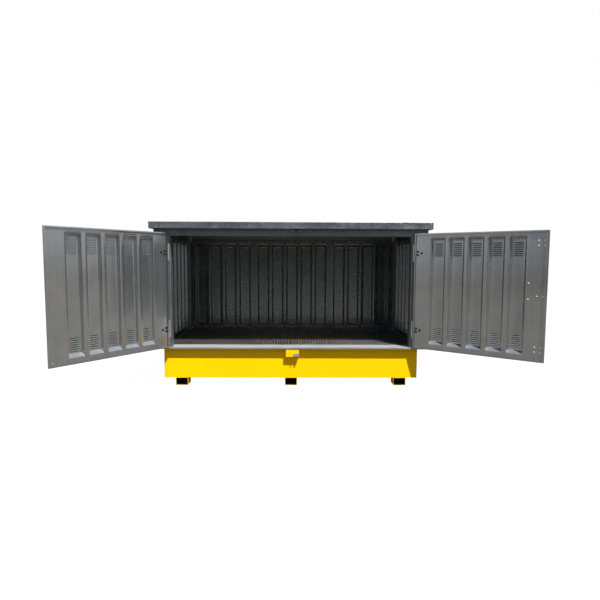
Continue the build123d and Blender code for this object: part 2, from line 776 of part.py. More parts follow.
def build_lock():
    guides = [rod_guide(*sizes) for sizes in zip(GUIDE_Z, GUIDE_ROWS, SLEEVE_HALF)]
    guides[1] -= [padlock_hole(GUIDE_Z[1] + dz) for dz in (-PADLOCK_HOLE_DZ, PADLOCK_HOLE_DZ)]
    save("lock_guides", [place_right(guide) for guide in guides])
    bolts = [guide_bolt(s, z) for s, z in guide_bolt_places()]
    bolts += [handle_bolt(s, z) for s, z in handle_bolt_places()]
    save("lock_bolts", [place_right(bolt) for bolt in bolts])
    save("pull_handle", place_right(pull_handle()))
    z0, z1 = ROD_LOWER
    save("lock_rod_lower", place_right(lock_rod(z0, z1, z0, z1 - TAB_OFFSET)))
    z0, z1 = ROD_UPPER
    save("lock_rod_upper", place_right(lock_rod(z0, z1, z1 - ROD_FOOT_H, z0 + TAB_OFFSET)))


build_sump()
build_frame()
build_walls()
build_roof()
build_doors()
build_lock()
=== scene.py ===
"""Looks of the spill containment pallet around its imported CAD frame. Metres, in the row frame."""

import json
import math
import random

import bmesh
import bpy
import numpy as np
from mathutils import Matrix, Vector

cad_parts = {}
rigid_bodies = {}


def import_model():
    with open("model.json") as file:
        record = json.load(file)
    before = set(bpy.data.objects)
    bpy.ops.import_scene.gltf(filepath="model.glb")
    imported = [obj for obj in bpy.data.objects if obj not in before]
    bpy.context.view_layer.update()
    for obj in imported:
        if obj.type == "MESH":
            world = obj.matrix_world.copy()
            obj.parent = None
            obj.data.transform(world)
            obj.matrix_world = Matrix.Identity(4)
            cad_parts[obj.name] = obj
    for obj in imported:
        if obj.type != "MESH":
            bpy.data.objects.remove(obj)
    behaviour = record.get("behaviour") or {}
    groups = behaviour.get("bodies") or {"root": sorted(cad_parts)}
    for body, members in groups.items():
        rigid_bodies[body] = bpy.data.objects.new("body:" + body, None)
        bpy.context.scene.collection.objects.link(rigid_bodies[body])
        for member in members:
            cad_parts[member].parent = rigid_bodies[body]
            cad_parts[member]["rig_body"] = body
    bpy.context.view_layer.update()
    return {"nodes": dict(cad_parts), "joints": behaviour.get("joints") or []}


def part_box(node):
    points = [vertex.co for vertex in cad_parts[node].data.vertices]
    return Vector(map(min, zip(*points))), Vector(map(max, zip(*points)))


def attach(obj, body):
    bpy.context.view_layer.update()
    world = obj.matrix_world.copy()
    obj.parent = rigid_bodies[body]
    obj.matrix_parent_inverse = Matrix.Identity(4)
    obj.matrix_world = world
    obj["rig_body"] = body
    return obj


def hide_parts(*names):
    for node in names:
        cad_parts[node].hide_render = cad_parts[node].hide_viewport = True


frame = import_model()
JOINTS = {j["name"]: j for j in frame["joints"]}

# ---------------------------------------------------------------- sizes shared with the CAD
MM = 0.001
SKIN = 2 * MM
CHANNEL_HALF = 78 * MM
CHANNEL_RUN = 15 * MM
CHANNEL_DEPTH = 35 * MM
CHANNEL_PITCH = 203 * MM
CHANNEL_END = 30 * MM
WALL_MARGIN = 55 * MM
DOOR_CHANNELS = 5
DOOR_FIRST = 279 * MM
DOOR_CHANNEL_Z = (517 * MM, 1693 * MM)
DOOR_S = (14 * MM, 1370 * MM)
DOOR_Z = (452 * MM, 1742 * MM)
LIP = 13 * MM
LIP_W = 15 * MM
LOUVRE_HALF = 45.6 * MM
LOUVRE_H = 12 * MM
LOUVRE_OUT = 7 * MM
LOUVRE_PITCH = 21.5 * MM
LOUVRE_COUNT = 7
LOUVRE_TOP = 1624 * MM
LOUVRE_BOTTOM = 563 * MM
HINGE_Z = (660 * MM, 1524 * MM)
STRAP_BOLTS = ((50 * MM, 19 * MM), (50 * MM, -19 * MM), (95 * MM, 0))
STRAP_OUT = 6 * MM
LOCK_S = 1304 * MM
GUIDE_ROWS = ((574 * MM, (-24 * MM, 24 * MM)), (1100 * MM, (0,)), (1618 * MM, (-24 * MM, 24 * MM)))
GUIDE_BOLT_S = 27.5 * MM
HANDLE_BOLTS = ((1198 * MM, 1068 * MM), (1198 * MM, 1226 * MM))
HANDLE_BOLT_IN = 12 * MM
CAP_R = 13.5 * MM
REAR_SPLIT = 507.5 * MM
ROOF_RIB_PITCH = 207 * MM


# ---------------------------------------------------------------- shader helpers
def node(tree, kind, inputs=None, **settings):
    """One shader node; inputs are sockets to link or plain values."""
    made = tree.nodes.new("ShaderNode" + kind)
    for key, value in settings.items():
        setattr(made, key, value)
    for key, value in (inputs or {}).items():
        if isinstance(value, bpy.types.NodeSocket):
            tree.links.new(value, made.inputs[key])
        else:
            made.inputs[key].default_value = value
    return made


def math_node(tree, operation, a, b=0.0, clamp=False):
    """The output of one Math node."""
    return node(tree, "Math", {0: a, 1: b}, operation=operation, use_clamp=clamp).outputs[0]


def new_material(name):
    """A node material with an empty Principled shader."""
    material = bpy.data.materials.new(name)
    material.use_nodes = True
    tree = material.node_tree
    tree.nodes.clear()
    out = tree.nodes.new("ShaderNodeOutputMaterial")
    shader = tree.nodes.new("ShaderNodeBsdfPrincipled")
    tree.links.new(shader.outputs[0], out.inputs[0])
    return material, tree, shader


def noise(tree, coords, scale, detail=3.0, roughness=0.5):
    """A noise value from 0 to 1."""
    inputs = {"Vector": coords, "Scale": scale, "Detail": detail, "Roughness": roughness}
    return node(tree, "TexNoise", inputs).outputs["Fac"]


def stretched(tree, coords, scale):
    """Coordinates scaled per axis, for streaks."""
    return node(tree, "Mapping", {"Vector": coords, "Scale": scale}).outputs[0]


def mix_colour(tree, factor, a, b):
    """Colour a turning into colour b with factor."""
    made = tree.nodes.new("ShaderNodeMix")
    made.data_type = "RGBA"
    tree.links.new(factor, made.inputs[0])
    for index, value in ((6, a), (7, b)):
        if isinstance(value, bpy.types.NodeSocket):
            tree.links.new(value, made.inputs[index])
        else:
            made.inputs[index].default_value = (*value, 1.0)
    return made.outputs[2]


def ranged(tree, value, low, high, from_low=0.0, from_high=1.0):
    """A value mapped and clamped from one range to another."""
    inputs = {"Value": value, "From Min": from_low, "From Max": from_high, "To Min": low, "To Max": high}
    return node(tree, "MapRange", inputs).outputs[0]


def weighted(tree, parts):
    """0.5 plus the weighted sum of noises about their middle."""
    total = None
    for value, weight in parts:
        term = math_node(tree, "MULTIPLY", math_node(tree, "SUBTRACT", value, 0.5), weight)
        total = term if total is None else math_node(tree, "ADD", total, term)
    return math_node(tree, "ADD", total, 0.5, clamp=True)


def zinc(name, dark, light, metallic, roughness, spangle=9 * MM, cell=0.7, streak=0.9, cloud=1.2,
         bump=0.25, spread=0.09, ledge_painted_reflection=None):
    """Galvanised steel: crystal spangle, vertical drain streaks, clouding and fine scratches.

    The ledge argument paints upward faces a dull bluish grey: a painted sky reflection that hides the sun
    mirrored in the channels' ends.
    """
    material, tree, shader = new_material(name)
    coords = node(tree, "TexCoord").outputs["Object"]
    cells = node(tree, "TexVoronoi", {"Vector": coords, "Scale": 1 / spangle, "Randomness": 1.0})
    cell_value = node(tree, "SeparateColor", {0: cells.outputs["Color"]}).outputs[0]
    clouds = noise(tree, coords, 4.5, 4.0, 0.55)
    streaks = noise(tree, stretched(tree, coords, (38.0, 38.0, 1.6)), 1.0, 4.0, 0.6)
    fine = noise(tree, stretched(tree, coords, (420.0, 420.0, 14.0)), 1.0, 2.0, 0.5)
    factor = weighted(tree, [(cell_value, cell * 0.5), (clouds, cloud), (streaks, streak), (fine, 0.35)])
    base = mix_colour(tree, factor, dark, light)
    gloss = weighted(tree, [(cell_value, 0.5), (clouds, 0.9), (fine, 0.5)])
    rough = ranged(tree, gloss, roughness - spread, roughness + spread)
    # Painted reflection: upward faces turn a dull bluish grey that hides the sun's glint.
    if ledge_painted_reflection:
        up = node(tree, "SeparateXYZ", {0: node(tree, "TexCoord").outputs["Normal"]}).outputs[2]
        painted_ledge_mask = ranged(tree, up, 0.0, 1.0, 0.3, 0.6)
        base = mix_colour(tree, painted_ledge_mask, base, ledge_painted_reflection)
        rough = math_node(tree, "MAXIMUM", rough, math_node(tree, "MULTIPLY", painted_ledge_mask, 0.5))
        tree.links.new(ranged(tree, painted_ledge_mask, metallic, 0.0), shader.inputs["Metallic"])
    else:
        shader.inputs["Metallic"].default_value = metallic
    tree.links.new(base, shader.inputs["Base Color"])
    tree.links.new(rough, shader.inputs["Roughness"])
    height = weighted(tree, [(cells.outputs["Distance"], 0.5), (fine, 0.5), (clouds, 0.6)])
    bumped = node(tree, "Bump", {"Strength": bump, "Distance": 0.35 * MM, "Height": height})
    tree.links.new(bumped.outputs[0], shader.inputs["Normal"])
    return material


def powder_coat(name, colour, worn):
    """Powder coat with orange peel, faint sun fading, dust low down and small chips."""
    material, tree, shader = new_material(name)
    coords = node(tree, "TexCoord").outputs["Object"]
    height = node(tree, "SeparateXYZ", {0: coords}).outputs[2]
    clouds = noise(tree, coords, 2.4, 4.0, 0.55)
    specks = noise(tree, coords, 95.0, 3.0, 0.6)
    faded = tuple(c * 0.95 for c in colour)
    base = mix_colour(tree, ranged(tree, clouds, 0.0, 1.0, 0.35, 0.65), colour, faded)
    runs = noise(tree, stretched(tree, coords, (30.0, 30.0, 2.0)), 1.0, 4.0, 0.6)
    low = ranged(tree, height, 1.0, 0.0, 0.0, 0.11)
    dust = math_node(tree, "MULTIPLY", low, ranged(tree, runs, 0.0, 0.3, 0.35, 0.65))
    base = mix_colour(tree, dust, base, tuple(c * 0.6 + 0.02 for c in colour))
    chips = ranged(tree, specks, 0.0, 1.0, 0.735, 0.745)
    base = mix_colour(tree, chips, base, worn)
    tree.links.new(base, shader.inputs["Base Color"])
    rough = ranged(tree, clouds, 0.42, 0.56, 0.3, 0.7)
    tree.links.new(rough, shader.inputs["Roughness"])
    peel = weighted(tree, [(noise(tree, coords, 520.0, 1.0, 0.4), 1.0), (clouds, 0.5)])
    bumped = node(tree, "Bump", {"Strength": 0.12, "Distance": 0.25 * MM, "Height": peel})
    tree.links.new(bumped.outputs[0], shader.inputs["Normal"])
    shader.inputs["Specular IOR Level"].default_value = 0.08
    return material


def plain_dark(name, colour, roughness):
    """Moulded plastic for the caps, and near-black steel with painted shade for the insides of the feet: fine
    grain and uneven gloss.
    """
    material, tree, shader = new_material(name)
    coords = node(tree, "TexCoord").outputs["Object"]
    grain = noise(tree, coords, 900.0, 2.0, 0.5)
    clouds = noise(tree, coords, 30.0, 3.0, 0.5)
    base = mix_colour(tree, clouds, colour, tuple(c * 1.9 + 0.003 for c in colour))
    tree.links.new(base, shader.inputs["Base Color"])
    tree.links.new(ranged(tree, clouds, roughness - 0.1, roughness + 0.1), shader.inputs["Roughness"])
    bumped = node(tree, "Bump", {"Strength": 0.2, "Distance": 0.1 * MM, "Height": grain})
    tree.links.new(bumped.outputs[0], shader.inputs["Normal"])
    shader.inputs["Specular IOR Level"].default_value = 0.2
    return material


MATERIALS = {
    "sump_yellow": powder_coat("sump_yellow", (0.95, 0.53, 0.0), (0.45, 0.30, 0.05)),
    # Grating: darker than galvanised steel, painted shade of the roofed bay.
    "galvanised_grating": zinc(
        "galvanised_grating", (0.07, 0.077, 0.077), (0.14, 0.147, 0.147), 0.75, 0.45, 14 * MM),
    "roof_flashing": zinc(
        "roof_flashing", (0.093, 0.107, 0.121), (0.223, 0.247, 0.27), 0.75, 0.42, 16 * MM, cloud=1.6),
    "roof_sheet": zinc("roof_sheet", (0.32, 0.34, 0.36), (0.52, 0.54, 0.56), 0.80, 0.40),
    # Door sheet: upward faces carry a painted sky reflection in place of the sun's glint.
    "door_sheet": zinc(
        "door_sheet", (0.40, 0.41, 0.425), (0.56, 0.57, 0.585), 0.92, 0.13,
        bump=0.06, spread=0.04, ledge_painted_reflection=(0.085, 0.10, 0.115)),
    # Wall sheet: the same zinc as the doors, darkened as painted shade of the enclosed bay.
    "wall_sheet": zinc(
        "wall_sheet", (0.19, 0.21, 0.21), (0.25, 0.27, 0.27), 0.92, 0.24,
        cell=0.12, cloud=0.7, bump=0.04),
    "galvanised_frame": zinc(
        "galvanised_frame", (0.16, 0.17, 0.175), (0.30, 0.31, 0.32), 0.80, 0.42, 12 * MM),
    "zinc_fitting": zinc("zinc_fitting", (0.56, 0.57, 0.58), (0.76, 0.77, 0.78), 0.85, 0.34, 5 * MM),
    "black_cap": plain_dark("black_cap", (0.006, 0.006, 0.007), 0.42),
}
# Sill top: the frame zinc made less metallic so the sun turns it near-white, a painted highlight. Sill lip: a
# darker tan copy, painted shade with the tint of the reflected ground.
SILL_PAINTED_HIGHLIGHT = zinc("sill_painted_highlight", (0.34, 0.35, 0.36), (0.48, 0.49, 0.50), 0.45, 0.40, 12 * MM)
SILL_PAINTED_SHADE = zinc("sill_painted_shade", (0.24, 0.235, 0.21), (0.38, 0.37, 0.34), 0.6, 0.42, 12 * MM)
# Zinc whitened to near-white and made partly diffuse: a painted glint on the bolt heads.
BOLT_PAINTED_GLINT = zinc("bolt_painted_glint", (0.78, 0.79, 0.80), (0.92, 0.92, 0.92), 0.35, 0.30, 3 * MM)
KEEPER_GREY = zinc("keeper_grey", (0.16, 0.165, 0.17), (0.30, 0.30, 0.30), 0.8, 0.36, 6 * MM)
# Inside of the feet: unpainted steel, darkened to near-black as painted shade of the hollow.
FOOT_PAINTED_SHADE = plain_dark("foot_inside", (0.012, 0.010, 0.008), 0.75)


# ---------------------------------------------------------------- mesh helpers
def link(name, mesh):
    made = bpy.data.objects.new(name, mesh)
    bpy.context.scene.collection.objects.link(made)
    return made


def mesh_from(name, verts, faces, merge=0.0):
    """New object from points and faces, with doubles merged and normals made consistent."""
    mesh = bpy.data.meshes.new(name)
    mesh.from_pydata([tuple(v) for v in verts], [], faces)
    made = link(name, mesh)
    if merge:
        work = bmesh.new()
        work.from_mesh(mesh)
        bmesh.ops.remove_doubles(work, verts=work.verts, dist=merge)
        work.to_mesh(mesh)
        work.free()
    return made


def apply_modifiers(obj):
    bpy.context.view_layer.update()
    graph = bpy.context.evaluated_depsgraph_get()
    mesh = bpy.data.meshes.new_from_object(obj.evaluated_get(graph))
    old = obj.data
    obj.modifiers.clear()
    obj.data = mesh
    bpy.data.meshes.remove(old)
    mesh.name = obj.name


def transform(obj, matrix):
    obj.data.transform(matrix)
    if matrix.determinant() < 0:
        obj.data.flip_normals()


def shade(obj, angle=32):
    obj.data.shade_smooth()
    obj.data.set_sharp_from_angle(angle=math.radians(angle))


def outward(obj):
    """Makes the faces of closed shells point out."""
    work = bmesh.new()
    work.from_mesh(obj.data)
    bmesh.ops.recalc_face_normals(work, faces=work.faces)
    work.to_mesh(obj.data)
    work.free()


def place(obj, body, slot, nodes=(), material=None):
    """Gives the piece its material, from the slot unless one is given, parents it to its body and hides the
    CAD nodes that it stands for.
    """
    if not obj.data.materials:
        obj.data.materials.append(material or MATERIALS[slot])
    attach(obj, body)
    if nodes:
        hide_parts(*nodes)
    return obj


class Shells:
    """Collects closed shells for one object."""

    def __init__(self):
        self.verts = []
        self.faces = []

    def add(self, verts, faces):
        start = len(self.verts)
        self.verts += [Vector(v) for v in verts]
        self.faces += [[start + i for i in face] for face in faces]

    def revolve(self, origin, direction, profile, segments=20, phase=0.0):
        """Solid of revolution: profile is (radius, height) pairs along the direction."""
        axis = Vector(direction).normalized()
        across = axis.orthogonal().normalized()
        other = axis.cross(across)
        verts = []
        for radius, height in profile:
            for i in range(segments):
                angle = 2 * math.pi * i / segments + phase
                ring = across * math.cos(angle) + other * math.sin(angle)
                verts.append(Vector(origin) + axis * height + ring * radius)
        faces = [list(range(segments))[::-1]]
        for j in range(len(profile) - 1):
            for i in range(segments):
                k = (i + 1) % segments
                this_ring, next_ring = j * segments, (j + 1) * segments
                faces.append([this_ring + i, this_ring + k, next_ring + k, next_ring + i])
        faces.append(list(range((len(profile) - 1) * segments, len(profile) * segments)))
        self.add(verts, faces)

    def bead(self, a, b, radius, rng, pitch=3.4 * MM, sides=8):
        """Weld bead with ripples between two points."""
        a, b = Vector(a), Vector(b)
        along = (b - a).normalized()
        across = along.orthogonal().normalized()
        other = along.cross(across)
        count = max(4, round((b - a).length / (pitch / 2)))
        verts = []
        for j in range(count + 1):
            ripple = 1.0 + 0.16 * math.cos(math.pi * j) + rng.uniform(-0.08, 0.08)
            size = radius * (0.25 if j in (0, count) else ripple)
            centre = a + (b - a) * (j / count)
            for i in range(sides):
                angle = 2 * math.pi * i / sides
                verts.append(centre + (across * math.cos(angle) + other * math.sin(angle)) * size)
        faces = [list(range(sides))[::-1]]
        for j in range(count):
            for i in range(sides):
                k = (i + 1) % sides
                faces.append([j * sides + i, j * sides + k, (j + 1) * sides + k, (j + 1) * sides + i])
        faces.append(list(range(count * sides, (count + 1) * sides)))
        self.add(verts, faces)

    def block(self, low, high, chamfer=0.0):
        """Box with chamfered edges along its longest side."""
        low, high = Vector(low), Vector(high)
        size = high - low
        long_axis = max(range(3), key=lambda i: size[i])
        u, v = [i for i in range(3) if i != long_axis]
        c = chamfer
        outline = [
            (low[u] + c, low[v]), (high[u] - c, low[v]), (high[u], low[v] + c), (high[u], high[v] - c),
            (high[u] - c, high[v]), (low[u] + c, high[v]), (low[u], high[v] - c), (low[u], low[v] + c),
        ]
        verts = []
        for end in (low[long_axis], high[long_axis]):
            for pu, pv in outline:
                point = [0.0, 0.0, 0.0]
                point[long_axis], point[u], point[v] = end, pu, pv
                verts.append(point)
        faces = [list(range(8))[::-1], list(range(8, 16))]
        faces += [[i, (i + 1) % 8, (i + 1) % 8 + 8, i + 8] for i in range(8)]
        self.add(verts, faces)

    def build(self, name):
        made = mesh_from(name, self.verts, self.faces)
        outward(made)
        return made


def soften(name, width, slot, material=None, segments=2, angle=32):
    """A CAD node rebuilt with rounded edges in place of knife edges."""
    source = frame["nodes"][name]
    work = bmesh.new()
    work.from_mesh(source.data)
    bmesh.ops.remove_doubles(work, verts=work.verts, dist=5e-6)
    bmesh.ops.dissolve_limit(
        work, angle_limit=math.radians(0.6), verts=work.verts, edges=work.edges, use_dissolve_boundaries=False
    )
    work.verts.index_update()
    made = mesh_from(
        name + "_finish", [v.co.copy() for v in work.verts], [[v.index for v in f.verts] for f in work.faces]
    )
    work.free()
    bevel = made.modifiers.new("edges", "BEVEL")
    bevel.width = width
    bevel.segments = segments
    bevel.limit_method = "ANGLE"
    bevel.angle_limit = math.radians(40)
    bevel.miter_outer = "MITER_ARC"
    apply_modifiers(made)
    shade(made, angle)
    made.modifiers.new("normals", "WEIGHTED_NORMAL").keep_sharp = True
    apply_modifiers(made)
    place(made, source["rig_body"], slot, [name], material)
    return made


# ---------------------------------------------------------------- pressed sheet
def soft_ramp(distance, run, width):
    """0 before the edge, 1 past the run, with both bends rounded."""
    def soft(x):
        return np.where(x > width, x, np.where(x < -width, 0.0, (x + width) ** 2 / (4 * width)))
    return (soft(distance) - soft(distance - run)) / run


def bend_samples(edge, run, width, inward, count):
    """Sample places across one rounded ramp."""
    return list(edge + inward * np.linspace(-width, run + width, count))


def between(low, high, step):
    return list(np.linspace(low, high, max(2, math.ceil((high - low) / step) + 1)))


def sorted_unique(values, low, high, gap=0.2 * MM):
    kept = []
    for value in sorted(v for v in values if low <= v <= high):
        if not kept or value - kept[-1] > gap:
            kept.append(value)
    kept[-1] = high
    return kept


def pressed_sheet(name, s_range, z_range, centres, channel_z, louvres=(), border=0.0, loops=()):
    """Sheet along +X with its inner face at y = 0, channels pressed to -Y, real louvre slits and edge loops.

    loops are (inset from the outline, y) pairs that carry the sheet on round its folded edge.
    """
    round_s, round_z = 4.5 * MM, 4.5 * MM
    s0, s1 = s_range[0] + border, s_range[1] - border
    z0, z1 = z_range[0] + border, z_range[1] - border
    s_values = between(s0, s1, 30 * MM)
    for centre in centres:
        for side in (-1, 1):
            s_values += bend_samples(centre + side * CHANNEL_HALF, CHANNEL_RUN, round_s, -side, 15)
            if louvres:
                s_values += [centre + side * (LOUVRE_HALF - d * MM) for d in (0, 0.6, 2, 4, 6.5, 9)]
    z_values = between(z0, z1, 30 * MM)
    z_values += bend_samples(channel_z[0], CHANNEL_END, round_z, 1, 17)
    z_values += bend_samples(channel_z[1], CHANNEL_END, round_z, -1, 17)
    for z in louvres:
        z_values += list(z + np.array([-0.5, -0.3, -0.1, 0.15, 0.35, 0.5]) * LOUVRE_H)
    s_values = np.array(sorted_unique(s_values, s0, s1))
    rows = []
    slits = {round(z - LOUVRE_H / 2, 6) for z in louvres}
    for z in sorted_unique(z_values, z0, z1):
        rows.append((z, False))
        if round(z, 6) in slits:
            rows.append((z, True))
    width = len(s_values)
    points = []
    across = np.zeros(width)
    ends = np.zeros(width)
    for centre in centres:
        across = np.maximum(across, soft_ramp(CHANNEL_HALF - np.abs(s_values - centre), CHANNEL_RUN, round_s))
        inset = np.clip((LOUVRE_HALF - np.abs(s_values - centre)) / (9 * MM), 0, 1)
        ends = np.maximum(ends, np.sqrt(1 - (1 - inset) ** 2))
    for z, above in rows:
        inside = np.array(min(z - channel_z[0], channel_z[1] - z))
        rise = soft_ramp(inside, CHANNEL_END, round_z)
        depth = CHANNEL_DEPTH * np.maximum(0.0, 1 - ((1 - across) ** 8 + (1 - rise) ** 8) ** 0.125)
        for louvre in louvres:
            share = (louvre + LOUVRE_H / 2 - z) / LOUVRE_H
            if 0 < share < 0.999 or (above and abs(share - 1) < 0.002):
                depth = depth + LOUVRE_OUT * ends * share * (2 - share)
        points += [(s, -d, z) for s, d in zip(s_values, depth)]
    faces = []
    for j in range(len(rows) - 1):
        if rows[j + 1][0] == rows[j][0]:
            continue
        for i in range(width - 1):
            a = j * width + i
            faces.append((a, a + width, a + width + 1, a + 1))
    if loops:
        last = len(rows) - 1
        ring = [i for i in range(width)]
        ring += [j * width + width - 1 for j in range(1, last + 1)]
        ring += [last * width + i for i in range(width - 2, -1, -1)]
        ring += [j * width for j in range(last - 1, 0, -1)]
        previous = ring
        for inset, y in loops:
            low_s, high_s = s_range[0] + inset, s_range[1] - inset
            low_z, high_z = z_range[0] + inset, z_range[1] - inset
            start = len(points)
            for index in ring:
                s, _, z = points[index]
                s = low_s if s <= s0 else high_s if s >= s1 else min(max(s, low_s), high_s)
                z = low_z if z <= z0 else high_z if z >= z1 else min(max(z, low_z), high_z)
                points.append((s, y, z))
            current = list(range(start, start + len(ring)))
            for i in range(len(ring)):
                k = (i + 1) % len(ring)
                faces.append((previous[i], previous[k], current[k], current[i]))
            previous = current
    made = mesh_from(name, points, faces, merge=0.02 * MM)
    work = bmesh.new()
    work.from_mesh(made.data)
    bmesh.ops.dissolve_degenerate(work, edges=work.edges, dist=0.01 * MM)
    bmesh.ops.recalc_face_normals(work, faces=work.faces)
    middle = max(work.faces, key=lambda f: f.calc_area())
    if middle.normal.y < 0:
        bmesh.ops.reverse_faces(work, faces=work.faces)
    work.to_mesh(made.data)
    work.free()
    thick = made.modifiers.new("sheet", "SOLIDIFY")
    thick.thickness = SKIN
    thick.offset = -1
    apply_modifiers(made)
    return made


def fold_loops(radius=2.2 * MM, steps=4):
    """Inside of the folded door edge: up the lip, then the return flange."""
    inner = SKIN
    top = LIP - SKIN
    loops = []
    for i in range(1, steps + 1):
        a = math.pi / 2 * i / steps
        loops.append((inner + radius - radius * math.sin(a), radius - radius * math.cos(a)))
    for i in range(steps + 1):
        a = math.pi / 2 * i / steps
        loops.append((inner + radius - radius * math.cos(a), top - radius + radius * math.sin(a)))
    loops.append((LIP_W, top))
    return inner + radius, loops


def wall_centres(s0, s1, count):
    return [(s0 + s1) / 2 + (i - (count - 1) / 2) * CHANNEL_PITCH for i in range(count)]


def build_wall(name, s_range, count, matrix):
    low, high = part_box(name)
    z_range = (low.z, high.z)
    channel_z = (low.z + WALL_MARGIN, high.z - WALL_MARGIN)
    wall = pressed_sheet(name + "_finish", s_range, z_range, wall_centres(*s_range, count), channel_z)
    transform(wall, matrix)
    shade(wall)
    place(wall, "housing", "wall_sheet", [name])


MIRROR = Matrix.Scale(-1, 4, Vector((1, 0, 0)))


def door_matrix(side):
    """Door frame to object frame at rest, from the hinge joint in the record."""
    joint = JOINTS[f"{side}_door_hinge"]
    origin = Vector(joint["pos_m"])
    origin.z = 0
    opened = math.radians(-joint["range_deg"][0])
    if side == "left":
        return Matrix.Translation(origin) @ Matrix.Rotation(-opened, 4, "Z")
    return Matrix.Translation(origin) @ Matrix.Rotation(opened, 4, "Z") @ MIRROR


def door_louvres():
    rows = [LOUVRE_TOP - i * LOUVRE_PITCH for i in range(LOUVRE_COUNT)]
    return rows + [LOUVRE_BOTTOM + i * LOUVRE_PITCH for i in range(LOUVRE_COUNT)]


def build_door(side):
    border, loops = fold_loops()
    centres = [DOOR_FIRST + i * CHANNEL_PITCH for i in range(DOOR_CHANNELS)]
    name = f"door_leaf_{side}"
    leaf = pressed_sheet(
        name + "_finish", DOOR_S, DOOR_Z, centres, DOOR_CHANNEL_Z, door_louvres(), border, loops
    )
    transform(leaf, door_matrix(side))
    shade(leaf, 38)
    place(leaf, f"{side}_door", "door_sheet", [name])


# ---------------------------------------------------------------- fasteners
DOME = ((1.0, 0.0), (1.0, 0.35), (0.93, 0.6), (0.78, 0.8), (0.5, 0.95), (0.0001, 1.0))


def dome(shells, origin, direction, radius, height, segments=20):
    """Round head."""
    shells.revolve(origin, direction, [(r * radius, h * height) for r, h in DOME], segments)


def hexagon(shells, origin, direction, radius, height):
    """Hex head with a chamfered crown."""
    profile = [(radius, 0.0), (radius, height * 0.82), (radius * 0.84, height), (0.0001, height)]
    shells.revolve(origin, direction, profile, 6)


def washer(shells, origin, direction, radius, height):
    profile = [(radius, 0.0), (radius, height * 0.6), (radius * 0.93, height), (0.0001, height)]
    shells.revolve(origin, direction, profile, 24)


def build_hinge_bolts(side):
    """Black domed caps over the nuts on the inside, coach bolt heads on the outside."""
    shells = Shells()
    for z in HINGE_Z:
        for s, dz in STRAP_BOLTS:
            inside = (s, 0.0, z + dz)
            profile = [(1.0, 0), (1.0, 1.4), (0.93, 3.4), (0.84, 5.0), (0.68, 6.2), (0.4, 6.9), (0.001, 7.0)]
            shells.revolve(inside, (0, 1, 0), [(r * CAP_R, h * MM) for r, h in profile], 28)
            outside = (s, -STRAP_OUT, z + dz)
            shells.revolve(outside, (0, 1, 0), [(5 * MM, 0), (5 * MM, STRAP_OUT)], 16)
            dome(shells, outside, (0, -1, 0), 9 * MM, 5 * MM)
    bolts = shells.build(f"hinge_bolts_{side}_finish")
    transform(bolts, door_matrix(side))
    shade(bolts)
    place(bolts, f"{side}_door", "black_cap", [f"hinge_bolts_{side}"])


def guide_bolt_places():
    """The guide bolts' places on the leaf, as s and z."""
    rows = [z + dz for z, offsets in GUIDE_ROWS for dz in offsets]
    return [(LOCK_S + side * GUIDE_BOLT_S, z) for z in rows for side in (-1, 1)]


def build_lock_bolts():
    """Bolts of the rod guides and the pull handle: domed nuts inside, round heads outside on the guides."""
    shells = Shells()
    outside = SKIN + 4 * MM
    spots = [(spot, outside) for spot in guide_bolt_places()]
    spots += [(spot, HANDLE_BOLT_IN) for spot in HANDLE_BOLTS]
    for (s, z), shank in spots:
        washer(shells, (s, 0.0, z), (0, 1, 0), 7 * MM, 1.2 * MM)
        profile = [(5.6, 1.2), (5.6, 3.2), (4.9, 4.3), (3.2, 5.1), (0.01, 5.5)]
        shells.revolve((s, 0.0, z), (0, 1, 0), [(r * MM, h * MM) for r, h in profile], 6)
        shells.revolve((s, -shank, z), (0, 1, 0), [(4 * MM, 0), (4 * MM, shank)], 14)
    for s, z in guide_bolt_places():
        dome(shells, (s, -outside, z), (0, -1, 0), 7 * MM, 4 * MM)
    bolts = shells.build("lock_bolts_finish")
    transform(bolts, door_matrix("right"))
    shade(bolts)
    # The whitened bolt finish is a painted glint.
    place(bolts, "right_door", "zinc_fitting", ["lock_bolts"], BOLT_PAINTED_GLINT)


def build_door_rivets():
    """Blind rivets that close the folded corners of the leaves."""
    spots = {"right": ((1338, 1716), (1326, 480)), "left": ((1329, 494), (1334, 1716))}
    for side, places in spots.items():
        shells = Shells()
        for s, z in places:
            dome(shells, (s * MM, 0.0, z * MM), (0, 1, 0), 5 * MM, 2.2 * MM, 16)
            dome(shells, (s * MM, -SKIN, z * MM), (0, -1, 0), 5 * MM, 2.2 * MM, 16)
        rivets = shells.build(f"door_rivets_{side}")
        transform(rivets, door_matrix(side))
        shade(rivets)
        place(rivets, f"{side}_door", "zinc_fitting")


